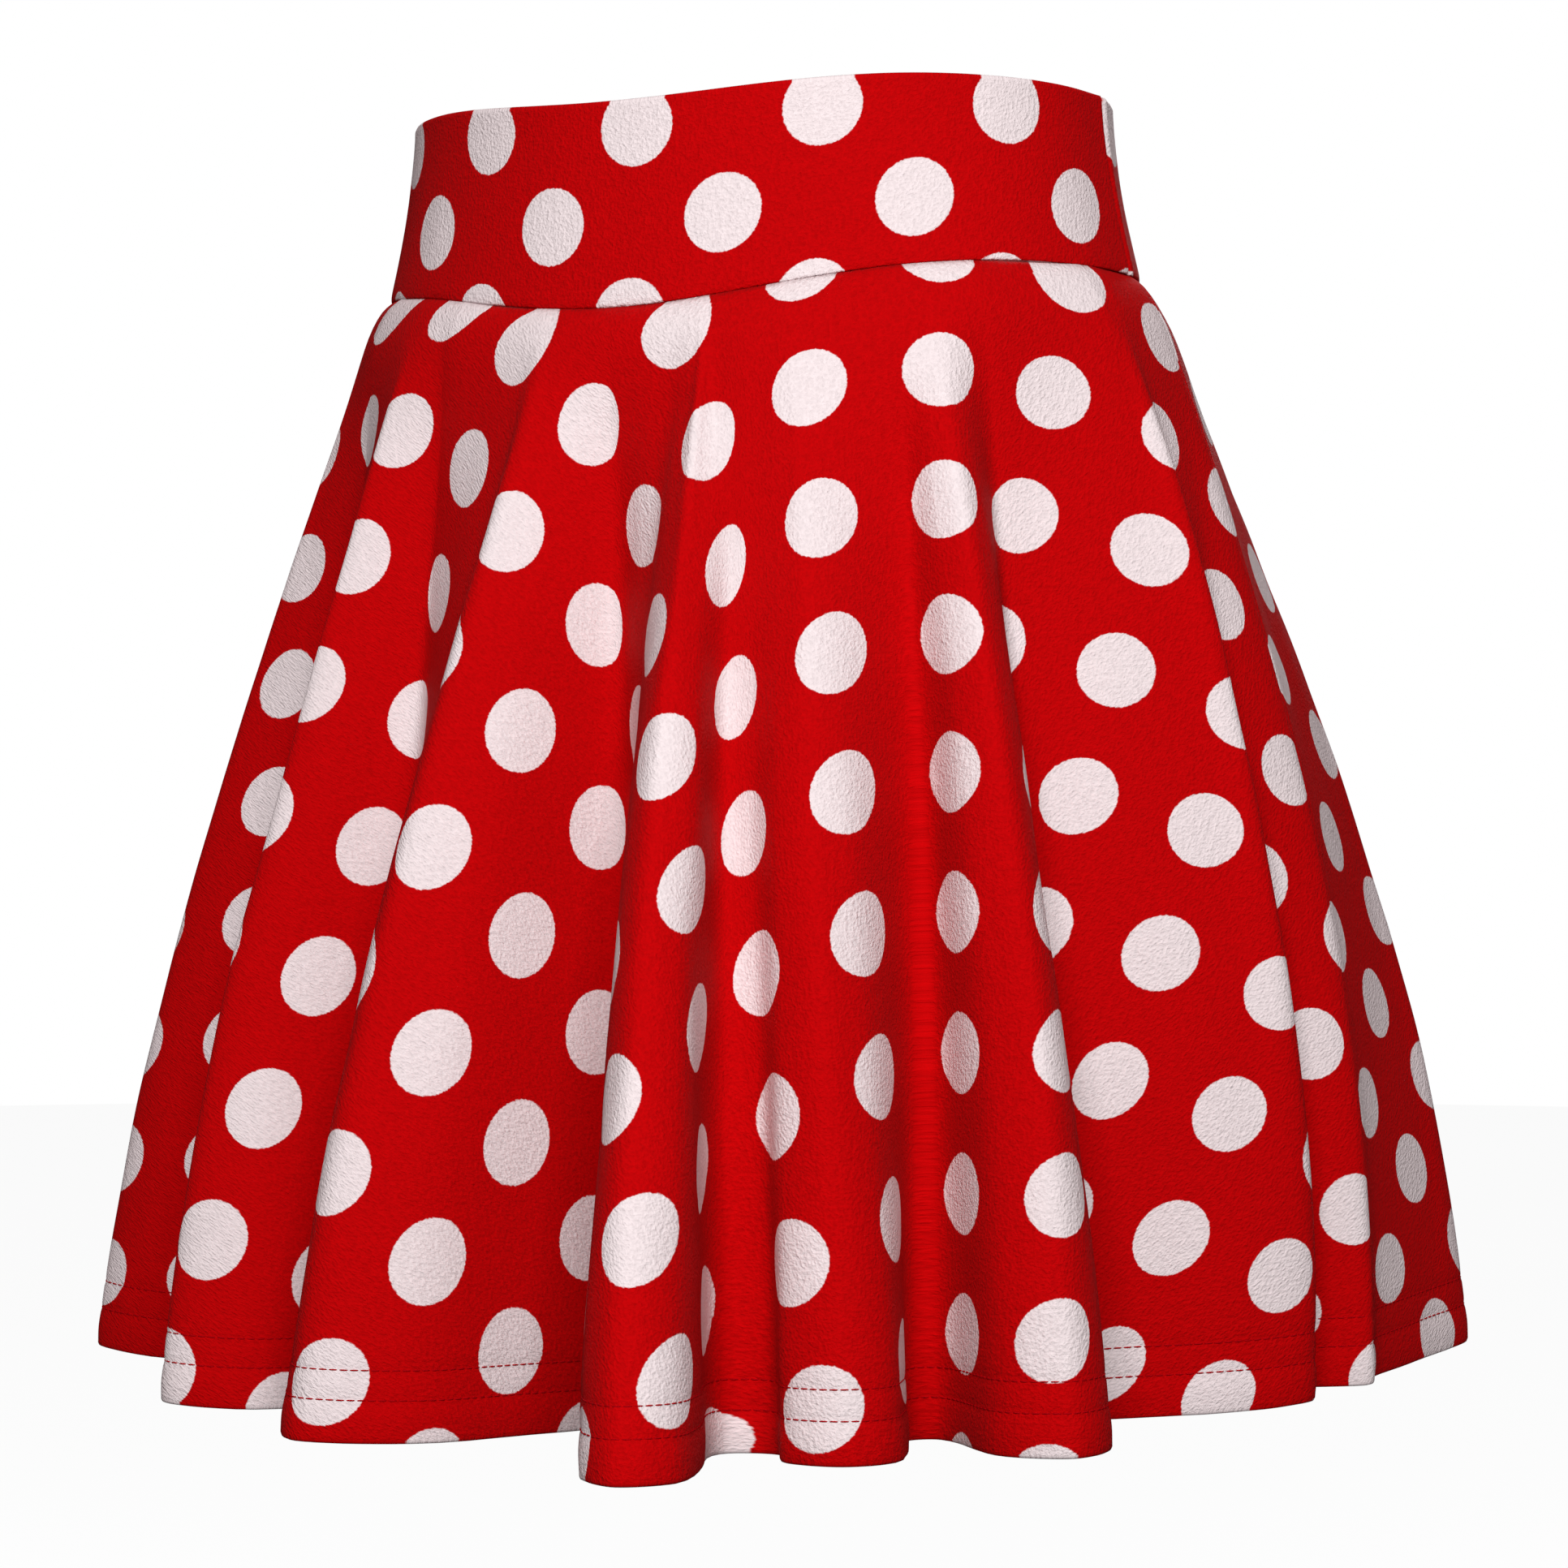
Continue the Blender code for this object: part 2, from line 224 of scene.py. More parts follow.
# Painted shade of the knit's relief: the soft step from its darker hollows to its paler high
# points, and the red's and the dots' darker and paler factors.
RELIEF_SHADE_FROM, RELIEF_SHADE_TO = 0.34, 0.66
RED_SHADES, DOT_SHADES = (0.86, 1.08), (0.90, 1.03)
CLOUD_SHADE, CLOUD_STRENGTH = 0.80, 0.20
KNIT_RELIEF = 0.0010
KNIT_ROUGHNESS, ROUGHNESS_CHANGE = 0.80, 0.12
SOFT_GLOSS = {"Specular IOR Level": 0.06, "Specular Tint": (1.0, 0.30, 0.30, 1.0)}
THREAD_GRAIN, THREAD_SHADES = 2600.0, (0.75, 1.35)
FLOOR_GRAIN, FLOOR_SHADES = 1.5, (0.99, 1.01)
WHITE = (1.0, 1.0, 1.0, 1.0)

# The room: its floor glows, so that it stays as pale as the walls.  Lights are in degrees,
# metres and watts.
FLOOR_Z = -1.02
FLOOR_RADIUS = 9.0
FLOOR_CORNERS = 96
FLOOR_GLOW = 0.86
ROOM_LIGHT = 0.10
LIGHT_COLUMNS = ("name", "azimuth", "elevation", "distance", "size", "power")
LIGHT_ROWS = (
    ("key", 28, 24, 1.8, 0.8, 32),
    ("back_fill", 200, 26, 1.8, 0.9, 27),
)


class SkirtSizes(bpy.types.PropertyGroup):
    """Sizes that a maker would change."""
    dot_radius: bpy.props.FloatProperty(
        name="Dot radius", description="Radius of a printed dot", default=0.01225,
        unit="LENGTH", precision=5)
    dot_pitch: bpy.props.FloatProperty(
        name="Dot pitch", description="Distance between dots along the grid", default=0.042,
        unit="LENGTH", precision=4)
    cloth_wall: bpy.props.FloatProperty(
        name="Cloth", description="Thickness of one layer of cloth", default=0.0010,
        unit="LENGTH", precision=5)
    lower_stitch: bpy.props.FloatProperty(
        name="Lower stitch row", description="Height of the lower row above the hem's edge",
        default=0.012, unit="LENGTH", precision=4)
    upper_stitch: bpy.props.FloatProperty(
        name="Upper stitch row", description="Height of the upper row above the hem's edge",
        default=0.021, unit="LENGTH", precision=4)
    stitch_pitch: bpy.props.FloatProperty(
        name="Stitch pitch", description="Length of one stitch and its gap", default=0.0030,
        unit="LENGTH", precision=5)
    thread: bpy.props.FloatProperty(
        name="Thread", description="Diameter of the sewing thread", default=0.00045,
        unit="LENGTH", precision=5)


class SkirtColours(bpy.types.PropertyGroup):
    """Colours that a maker would change."""
    red: bpy.props.FloatVectorProperty(
        name="Red", description="Ground colour of the cloth", subtype="COLOR", size=4,
        default=(0.52, 0.0010, 0.0020, 1.0))
    white: bpy.props.FloatVectorProperty(
        name="Dots", description="Colour of the dots", subtype="COLOR", size=4,
        default=(0.87, 0.75, 0.76, 1.0))
    thread: bpy.props.FloatVectorProperty(
        name="Thread", description="Colour of the sewing thread", subtype="COLOR", size=4,
        default=(0.36, 0.0012, 0.004, 1.0))
    floor: bpy.props.FloatVectorProperty(
        name="Floor", description="Colour of the floor", subtype="COLOR", size=4,
        default=(0.90, 0.90, 0.90, 1.0))


class Number:
    """A number socket of a material; arithmetic on it adds Math nodes."""

    def __init__(self, paint, socket):
        self.paint = paint
        self.socket = socket

    def maths(self, operation, *values):
        made = self.paint.node("ShaderNodeMath", {"operation": operation},
                               dict(enumerate(values)))
        return Number(self.paint, made.outputs[0])

    def __add__(self, other):
        return self.maths("ADD", self, other)

    def __radd__(self, other):
        return self.maths("ADD", other, self)

    def __sub__(self, other):
        return self.maths("SUBTRACT", self, other)

    def __rsub__(self, other):
        return self.maths("SUBTRACT", other, self)

    def __mul__(self, other):
        return self.maths("MULTIPLY", self, other)

    def __rmul__(self, other):
        return self.maths("MULTIPLY", other, self)

    def __pow__(self, power):
        return self.maths("POWER", self, power)

    def __rpow__(self, base):
        return self.maths("POWER", base, self)

    def fraction(self):
        return self.maths("FRACT", self)


class Paint:
    """The nodes of one material, or of the room, all made by node()."""

    def __init__(self, owner, shader="Principled BSDF"):
        owner.use_nodes = True
        self.owner, self.tree = owner, owner.node_tree
        self.shader = self.tree.nodes[shader]

    def node(self, kind, settings=None, sockets=None):
        made = self.tree.nodes.new(kind)
        for name, value in (settings or {}).items():
            setattr(made, name, value)
        self.feed(made, sockets or {})
        return made

    def feed(self, node, sockets):
        for name, value in sockets.items():
            if isinstance(value, Number):
                self.tree.links.new(value.socket, node.inputs[name])
            elif isinstance(value, bpy.types.NodeSocket):
                self.tree.links.new(value, node.inputs[name])
            else:
                node.inputs[name].default_value = value

    def attribute(self, name):
        return self.node("ShaderNodeAttribute", {"attribute_name": name}).outputs["Vector"]

    def parts(self, vector):
        made = self.node("ShaderNodeSeparateXYZ", None, {"Vector": vector})
        return [Number(self, made.outputs[axis]) for axis in "XYZ"]

    def grain(self, vector, scale, detail=2.0):
        made = self.node("ShaderNodeTexNoise", {"noise_dimensions": "3D"},
                         {"Vector": vector, "Scale": scale, "Detail": detail})
        return Number(self, made.outputs[0])

    def stretched(self, vector, factors):
        made = self.node("ShaderNodeVectorMath", {"operation": "MULTIPLY"},
                         {0: vector, 1: factors})
        return made.outputs["Vector"]

    def soft_step(self, value, low, high, start, end):
        made = self.node("ShaderNodeMapRange", {"interpolation_type": "SMOOTHSTEP"},
                         {"Value": value, "From Min": low, "From Max": high,
                          "To Min": start, "To Max": end})
        return Number(self, made.outputs["Result"])

    def mix(self, factor, first, second):
        made = self.node("ShaderNodeMix", {"data_type": "RGBA"},
                         {0: factor, 6: first, 7: second})
        return made.outputs[2]


def shades(colour, *factors):
    """The colour made darker by a factor below one, or lighter by one above it."""
    return [tuple(channel * factor for channel in colour[:3]) + (1.0,) for factor in factors]


def dotted_knit(name, sizes, colours):
    """Crepe knit, red with printed dots: flat_place holds grid steps, cloth_place metres."""
    paint = Paint(bpy.data.materials.new(name))
    across, down, _ = paint.parts(paint.attribute("flat_place"))
    cloth = paint.attribute("cloth_place")
    ragged = paint.grain(cloth, EDGE_GRAIN)
    step_across = ((across + 0.5).fraction() - 0.5) * sizes.dot_pitch
    step_down = ((down + 0.5).fraction() - 0.5) * sizes.dot_pitch
    distance = (step_across * step_across + step_down * step_down) ** 0.5
    edge = distance + (ragged - 0.5) * DOT_EDGE_RAGGED
    dots = paint.soft_step(edge, sizes.dot_radius - DOT_EDGE_BLUR,
                           sizes.dot_radius + DOT_EDGE_BLUR, 1.0, 0.0)
    pebbles = paint.grain(cloth, PEBBLE_GRAIN, detail=3.0)
    crinkle = paint.grain(paint.stretched(cloth, CRINKLE_STRETCH), CRINKLE_GRAIN)
    cloudy = paint.grain(cloth, CLOUD_GRAIN)
    # Painted shade: the red and the dots are paler where the pebbles and crinkle stand high and
    # darker in their hollows, following the same relief as the bump.
    pale = paint.soft_step(pebbles * SHADE_MIX[0] + crinkle * SHADE_MIX[1],
                           RELIEF_SHADE_FROM, RELIEF_SHADE_TO, 0.0, 1.0)
    ground = paint.mix(pale, *shades(colours.red, *RED_SHADES))
    ground = paint.mix(cloudy * CLOUD_STRENGTH, ground, *shades(colours.red, CLOUD_SHADE))
    print_colour = paint.mix(pale, *shades(colours.white, *DOT_SHADES))
    relief = pebbles * RELIEF_MIX[0] + crinkle * RELIEF_MIX[1]
    bump = paint.node("ShaderNodeBump", None,
                      {"Strength": 1.0, "Distance": KNIT_RELIEF, "Height": relief})
    paint.feed(paint.shader, {
        "Base Color": paint.mix(dots, ground, print_colour),
        "Roughness": KNIT_ROUGHNESS + (pebbles - 0.5) * ROUGHNESS_CHANGE,
        "Normal": bump.outputs["Normal"],
        **SOFT_GLOSS,
        "Sheen Weight": 0.05,
        "Sheen Roughness": 0.55,
        "Sheen Tint": (1.0, 0.10, 0.10, 1.0),
    })
    return paint.owner


def sewing_thread(colours):
    """Twisted polyester thread."""
    paint = Paint(bpy.data.materials.new("sewing_thread"))
    place = paint.node("ShaderNodeTexCoord").outputs["Object"]
    twist = paint.grain(place, THREAD_GRAIN, detail=1.0)
    tone = paint.mix(twist, *shades(colours.thread, *THREAD_SHADES))
    bump = paint.node("ShaderNodeBump", None,
                      {"Strength": 0.4, "Distance": 0.0001, "Height": twist})
    paint.feed(paint.shader, {"Base Color": tone, "Roughness": 0.65 + twist * 0.2,
                              "Normal": bump.outputs["Normal"], **SOFT_GLOSS})
    return paint.owner


def floor_paint(colours):
    """Pale matt studio floor."""
    paint = Paint(bpy.data.materials.new("studio_floor"))
    place = paint.node("ShaderNodeTexCoord").outputs["Object"]
    cloudy = paint.grain(place, FLOOR_GRAIN)
    tone = paint.mix(cloudy, *shades(colours.floor, *FLOOR_SHADES))
    paint.feed(paint.shader, {"Base Color": tone, "Roughness": 0.95,
                              "Specular IOR Level": 0.0, "Emission Color": WHITE,
                              "Emission Strength": FLOOR_GLOW})
    return paint.owner


def wrapped(degrees):
    """Degrees brought between -180 and 180."""
    return (degrees + 180.0) % 360.0 - 180.0


def front_dip(degrees, depth, half_degrees):
    """How far an edge lies below its side height at an azimuth."""
    return depth * np.exp(-(wrapped(degrees - 90.0) / half_degrees) ** 2)


def skirt_halves(share, degrees):
    """The folds' base ellipse at a share and an azimuth."""
    leftness = (1 + np.cos(np.radians(degrees))) / 2
    power = FLARE_POWER_RIGHT + (FLARE_POWER_LEFT - FLARE_POWER_RIGHT) * leftness
    flare = 1 - (1 - share) ** power
    swell = SEAM_SWELL * (1 - math.exp(-share * SKIRT_LENGTH / SWELL_LENGTH))
    return [seam + (hem - seam - SEAM_SWELL) * flare + swell
            for seam, hem in zip(SEAM_HALVES, HEM_HALVES)]


def roll_growth(share, start):
    """How far a roll has grown at a share: nought at its start, one at the hem."""
    run = max(0.0, (share - start) / (1 - start))
    soft = run * run / (2 * SOFT_START) if run < SOFT_START else run - SOFT_START / 2
    return soft / (1 - SOFT_START / 2)


def valley_growth(share, start):
    """How far a valley has grown at a share: it begins above its roll and deepens sooner."""
    begin = VALLEY_START * start
    run = max(0.0, (share - begin) / (1 - begin))
    return run ** VALLEY_POWER * (1 - math.exp(-run / VALLEY_SOFTNESS))


def fold_guides(share):
    """Azimuth, reach out and shift along of the section's guide points, in mm and degrees."""
    width = WIDTH_AT_WAIST + (1 - WIDTH_AT_WAIST) * share
    guides = []
    for fold in FOLDS:
        growth = roll_growth(share, fold["start"])
        crest = fold["out"] * growth
        trough = fold["in"] * valley_growth(share, fold["start"])
        roll = fold["roll_top"] + (fold["roll_hem"] - fold["roll_top"]) * share
        valley = fold["valley_top"] + (fold["valley_hem"] - fold["valley_top"]) * share
        lean = fold["lean"] * growth
        half = fold["half"] * width
        floor_half = fold["floor"] * width
        shoulder = crest - min(SHOULDER_DROP * (crest - trough), CREST_ROUND * half)
        floor = trough + min(FLOOR_RISE * (crest - trough), FLOOR_ROUND * floor_half)
        guides += [(roll, shoulder, SHOULDER_LEAN * lean - half), (roll, crest, lean),
                   (roll, shoulder, SHOULDER_LEAN * lean + half),
                   (valley, floor, -floor_half), (valley, floor, floor_half)]
    return np.array(guides)


def smooth_ring(points, steps):
    """Centripetal curve through a closed row of plan points, steps to a span."""
    before, end, after = (np.roll(points, turn, 0) for turn in (1, -1, -2))
    first, middle, last = (np.sqrt(np.linalg.norm(gap, axis=1))[:, None]
                           for gap in (points - before, end - points, after - end))
    leave = (end - points) + middle * ((points - before) / first
                                       - (end - before) / (first + middle))
    arrive = (end - points) + middle * ((after - end) / last
                                        - (after - points) / (middle + last))
    step = (np.arange(steps) / steps)[None, :, None]
    square, cube = step ** 2, step ** 3
    curve = ((2 * cube - 3 * square + 1) * points[:, None]
             + (cube - 2 * square + step) * leave[:, None]
             + (3 * square - 2 * cube) * end[:, None] + (cube - square) * arrive[:, None])
    return curve.reshape(-1, 2)


def skirt_ring(share):
    """Closed ring of the skirt's outer face at a share."""
    degrees, reach, along = fold_guides(share).T
    angle = np.radians(degrees)
    wide, deep = skirt_halves(share, degrees)
    normal = np.stack([np.cos(angle) / wide, -np.sin(angle) / deep], axis=1)
    normal /= np.linalg.norm(normal, axis=1)[:, None]
    tangent = np.stack([normal[:, 1], -normal[:, 0]], axis=1)
    base = np.stack([wide * np.cos(angle), -deep * np.sin(angle)], axis=1)
    plan = smooth_ring(base + (normal * reach[:, None] + tangent * along[:, None]) / 1000,
                       STEPS_PER_SPAN)
    heading = np.degrees(np.arctan2(-plan[:, 1], plan[:, 0]))
    wide, deep = skirt_halves(share, heading)
    azimuth = np.arctan2(-plan[:, 1] / deep, plan[:, 0] / wide)
    base_reach = np.hypot(wide * np.cos(azimuth), deep * np.sin(azimuth))
    hem = HEM_Z - HEM_FRONT_DROP * np.sin(azimuth)
    top = SEAM_Z - front_dip(np.degrees(azimuth), SEAM_DIP, SEAM_DIP_DEGREES)
    lift = RIDGE_LIFT * (np.linalg.norm(plan, axis=1) - base_reach) * share
    return np.column_stack([plan, top + (hem - top) * share + lift])


def band_ring(share, columns):
    """Closed ring of the band's outer face at a share of its height below the top."""
    flare = share ** BAND_FLARE_POWER
    wide, deep = (top + (seam - top) * flare for top, seam in zip(BAND_TOP_HALVES, SEAM_HALVES))
    half = columns // 2
    front_sweep = 180 - 2 * BAND_SEAM_AZIMUTH
    along = np.arange(columns) / half
    degrees = (BAND_SEAM_AZIMUTH + front_sweep * np.minimum(along, 1)
               + (360 - front_sweep) * np.maximum(along - 1, 0))
    angle = np.radians(degrees)
    top = BAND_TOP_Z - front_dip(degrees, TOP_DIP, TOP_DIP_DEGREES)
    bottom = SEAM_Z - front_dip(degrees, SEAM_DIP, SEAM_DIP_DEGREES)
    return np.column_stack([wide * np.cos(angle), -deep * np.sin(angle),
                            top + (bottom - top) * share])


def outward(rings):
    """Outward normals of a stack of closed rings, first ring on top."""
    down = np.gradient(rings, axis=0)
    around = np.roll(rings, -1, 1) - np.roll(rings, 1, 1)
    normals = np.cross(-down, around)
    return normals / np.linalg.norm(normals, axis=2)[:, :, None]


def along_ring(ring):
    """Distance round a closed ring from its first point to each point, and all round."""
    steps = np.linalg.norm(np.roll(ring, -1, 0) - ring, axis=1)
    return np.concatenate([[0.0], np.cumsum(steps)[:-1]]), steps.sum()


def guide_column(fold_name, kind):
    """The ring's column on a guide point of a fold."""
    names = [fold["name"] for fold in FOLDS]
    place = names.index(fold_name) * len(GUIDE_KINDS) + GUIDE_KINDS.index(kind)
    return place * STEPS_PER_SPAN


def valley_middle(fold_name):
    """The ring's column in the middle of a fold's valley, where a side seam may lie."""
    return guide_column(fold_name, "floor_a") + STEPS_PER_SPAN // 2


def panel_spans(columns):
    """The ring's columns of the front and of the back panel, from side seam to side seam."""
    left, right = valley_middle(LEFT_SEAM_FOLD), valley_middle(RIGHT_SEAM_FOLD)
    return range(left, right + 1), range(right, left + columns + 1)


def flat_skirt(rings, shares, pitch, span, behind):
    """A panel's places on the flat cloth: in steps of the dots' grid, and in metres.
    Cloth that the smooth valleys leave out is taken up in them, a little in each.
    The panel behind is measured on past the left side seam, so its print breaks at the right."""
    columns = rings.shape[1]
    anchor = guide_column(ANCHOR_FOLD, "crest")
    cut, laps = np.array(span) % columns, np.array(span) // columns - behind
    grid, metres = (np.zeros((len(rings), len(cut), 3)) for _ in range(2))
    for row, share in enumerate(shares):
        slant = share * SKIRT_LENGTH
        radius = FLAT_WAIST_RADIUS + slant
        place, length = along_ring(rings[row])
        missing = math.radians(FLAT_DEGREES) * radius - length
        extra = np.zeros(columns + 1)
        for fold in FOLDS:
            middle = valley_middle(fold["name"])
            spread = np.exp(-((np.arange(columns) - middle + columns / 2) % columns
                              - columns / 2) ** 2 / (2 * STEPS_PER_SPAN ** 2))
            tuck = missing / len(FOLDS) + fold["tuck_mid"] / 1000 * math.sin(math.pi * share) \
                + fold["tuck_hem"] / 1000 * share ** 2
            extra[1:] += np.cumsum(spread / spread.sum() * tuck)
        place = place + extra[:-1]
        offset = ANCHOR_AT_WAIST + (ANCHOR_AT_HEM - ANCHOR_AT_WAIST) * share
        whole = length + extra[-1]
        reach = place[anchor] + offset - place[cut] - laps * whole
        turn = reach / radius
        centred = np.sin(np.arctan2(-rings[row, cut, 1], rings[row, cut, 0])) ** 2
        beyond = [side + (centre - side) * centred
                  for side, centre in zip(CUT_AT_SIDES, CUT_AT_CENTRES)]
        cut_radius = radius + beyond[0] + (beyond[1] - beyond[0]) * share
        grid[row, :, 0] = cut_radius * np.sin(turn) / pitch + SKIRT_GRID_ACROSS
        grid[row, :, 1] = cut_radius * np.cos(turn) / pitch + SKIRT_GRID_DOWN
        metres[row, :, 0] = reach
        metres[row, :, 1] = slant
    return grid, metres


def flat_band(rings, span, behind):
    """A band panel's places, as in flat_skirt: the dots stand staggered, so the grid is turned."""
    columns = rings.shape[1]
    cut, laps = np.array(span) % columns, np.array(span) // columns - behind
    grid, metres = (np.zeros((len(rings), len(cut), 3)) for _ in range(2))
    front = columns // 4
    for row, ring in enumerate(rings):
        place, length = along_ring(ring)
        reach = place[front] - place[cut] - laps * length
        down = np.linalg.norm(np.diff(rings[: row + 1, cut], axis=0), axis=2).sum(axis=0)
        rows_across = (reach - BAND_DOT_ACROSS) / (BAND_DOT_SPACING / 2)
        rows_down = (down - BAND_DOT_DOWN) / (BAND_DOT_SPACING / 2)
        grid[row, :, 0] = (rows_across + rows_down) / 2
        grid[row, :, 1] = (rows_across - rows_down) / 2
        metres[row, :, 0] = reach
        metres[row, :, 1] = down
    return grid, metres


def ripples(rings, across, down, seed):
    """Soft uneven waves on the cloth, from -1 to 1, longer down than across."""
    found = [noise.noise(Vector((x / across, y / across, z / down + seed)))
             for x, y, z in rings.reshape(-1, 3)]
    return np.array(found).reshape(rings.shape[:2])


def creased(rings, shares):
    """How far the soft creases move each point out."""
    azimuth = np.degrees(np.arctan2(-rings[:, :, 1], rings[:, :, 0]))
    radius = np.linalg.norm(rings[:, :, :2], axis=2)
    moved = np.zeros(azimuth.shape)
    for values in CREASE_ROWS:
        crease = dict(zip(CREASE_COLUMNS, values))
        run = (shares - crease["from_share"]) / (crease["to_share"] - crease["from_share"])
        fade = np.where((run > 0) & (run < 1), np.sin(np.pi * np.clip(run, 0, 1))
                        ** CREASE_FADE_POWER, 0)
        line = crease["from_azimuth"] + (crease["to_azimuth"] - crease["from_azimuth"]) * run
        away = np.radians(wrapped(azimuth - line[:, None])) * radius
        moved += crease["depth"] / 1000 * fade[:, None] \
            * np.exp(-(away * 1000 / crease["half"]) ** 2)
    return moved


def near_seams(columns, seams, reach):
    """One on each seam's column, falling to nought over a reach in columns."""
    gap = np.min([np.abs((np.arange(columns) - seam + columns / 2) % columns - columns / 2)
                  for seam in seams], axis=0)
    return np.exp(-(gap / reach) ** 2)


def cloth_panel(name, node, outer, normals, walls, grid, metres, span, material):
    """One panel as a thin closed shell.  Its first row is sewn; its last is folded round."""
    columns = [column % outer.shape[1] for column in span]
    outer, normals = outer[:, columns], normals[:, columns]
    wall = walls[:, None, None]
    inner = outer - normals * wall
    edge = outer[-1] - outer[-2]
    edge /= np.linalg.norm(edge, axis=1)[:, None]
    middle, radius = (outer[-1] + inner[-1]) / 2, walls[-1] / 2
    turns = np.radians(EDGE_TURNS)
    fold = np.array([middle + (normals[-1] * math.cos(turn) + edge * math.sin(turn)) * radius
                     for turn in turns])
    loop = np.concatenate([outer, fold, inner[::-1]])
    marks = [np.concatenate([part, np.repeat(part[-1:], len(turns), 0), part[::-1]])
             for part in (grid, metres)]
    rows, count = loop.shape[:2]
    faces = []
    for row in range(rows):
        after = (row + 1) % rows
        for column in range(count - 1):
            faces.append((row * count + column, row * count + column + 1,
                          after * count + column + 1, after * count + column))
    layers = len(outer)
    for column in (0, count - 1):
        for row in range(layers - 1):
            faces.append((row * count + column, (row + 1) * count + column,
                          (rows - 2 - row) * count + column, (rows - 1 - row) * count + column))
        faces.append(tuple(row * count + column
                           for row in range(layers - 1, layers + len(turns) + 1)))
    mesh = bpy.data.meshes.new(name)
    mesh.from_pydata(loop.reshape(-1, 3).tolist(), [], faces)
    for label, values in zip(("flat_place", "cloth_place"), marks):
        layer = mesh.attributes.new(label, "FLOAT_VECTOR", "POINT")
        layer.data.foreach_set("vector", values.astype(np.float32).ravel())
    return dressed(name, mesh, node, material)


def dressed(name, mesh, node, material):
    """Turn the faces out, smooth them and tie the piece to the frame."""
    work = bmesh.new()
    work.from_mesh(mesh)
    bmesh.ops.recalc_face_normals(work, faces=work.faces[:])
    work.to_mesh(mesh)
    work.free()
    mesh.polygons.foreach_set("use_smooth", [True] * len(mesh.polygons))
    mesh.materials.append(material)
    piece = bpy.data.objects.new(name, mesh)
    bpy.context.scene.collection.objects.link(piece)
    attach(piece, "root")
    if node:
        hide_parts(node)
    return piece


def skirt_shares(sizes):
    """Rows down the skirt, close at the waist seam and through the hem, one on each stitch row."""
    body = np.linspace(BODY_FROM, TURN_UP_SHARE - BODY_ENDS_ABOVE_TURN_UP, BODY_ROWS)
    hem = np.linspace(TURN_UP_SHARE, 1.0, HEM_ROWS)
    rows = np.concatenate([WAIST_ROWS, body, hem])
    for height in (sizes.lower_stitch, sizes.upper_stitch):
        share = 1 - height / SKIRT_LENGTH
        rows[np.argmin(np.abs(rows - share))] = share
    return rows


def skirt_cloth(sizes):
    """The skirt's smooth rings, its outer face with creases, the normals and the shares."""
    shares = skirt_shares(sizes)
    smooth = np.array([skirt_ring(share) for share in shares])
    normals = outward(smooth)
    columns = smooth.shape[1]
    fade = np.clip(shares / RIPPLES_FULL_FROM, 0, 1)[:, None]
    seams = [valley_middle(name) for name in (LEFT_SEAM_FOLD, RIGHT_SEAM_FOLD)]
    height = (1 - shares) * SKIRT_LENGTH
    moved = creased(smooth, shares)
    for across, down, seed, tall in SKIRT_RIPPLES:
        moved += fade * ripples(smooth, across, down, seed) * tall
    moved -= near_seams(columns, seams, SEAM_GROOVE_COLUMNS)[None, :] * SEAM_GROOVE
    for stitch in (sizes.lower_stitch, sizes.upper_stitch):
        moved -= STITCH_SINK * np.exp(-((height - stitch) / STITCH_SINK_REACH) ** 2)[:, None]
    moved += HEM_SWELL * np.exp(-((height - HEM_SWELL_AT) / HEM_SWELL_REACH) ** 2)[:, None]
    pucker = ripples(smooth, PUCKER_ACROSS, PUCKER_DOWN, PUCKER_SEED) * PUCKER_HEIGHT
    moved += pucker * np.exp(-((height - PUCKER_AT) / PUCKER_REACH) ** 2)[:, None]
    moved -= WAIST_CURL * np.exp(-shares * SKIRT_LENGTH / WAIST_CURL_REACH)[:, None]
    rings = smooth + normals * moved[:, :, None]
    rings[0, :, :2] -= normals[0, :, :2] * SEAM_TUCK
    rings[0, :, 2] += SEAM_TUCK
    return smooth, rings, outward(rings), shares


class SKIRT_OT_panels(bpy.types.Operator):
    """Make the front and back of the skirt, with their folds, creases and turned-up hem"""
    bl_idname = "skirt.panels"
    bl_label = "Skirt panels"

    def execute(self, context):
        sizes, colours = context.scene.skirt_sizes, context.scene.skirt_colours
        smooth, rings, normals, shares = skirt_cloth(sizes)
        walls = np.where(shares >= TURN_UP_SHARE, HEM_LAYERS * sizes.cloth_wall,
                         sizes.cloth_wall)
        material = dotted_knit("dotted_skirt_knit", sizes, colours)
        for node, span in zip(("skirt_front", "skirt_back"), panel_spans(rings.shape[1])):
            grid, metres = flat_skirt(smooth, shares, sizes.dot_pitch, span,
                                      node == "skirt_back")
            piece = cloth_panel(node + "_cloth", node, rings, normals, walls,
                                grid, metres, span, material)
        return {"FINISHED"}


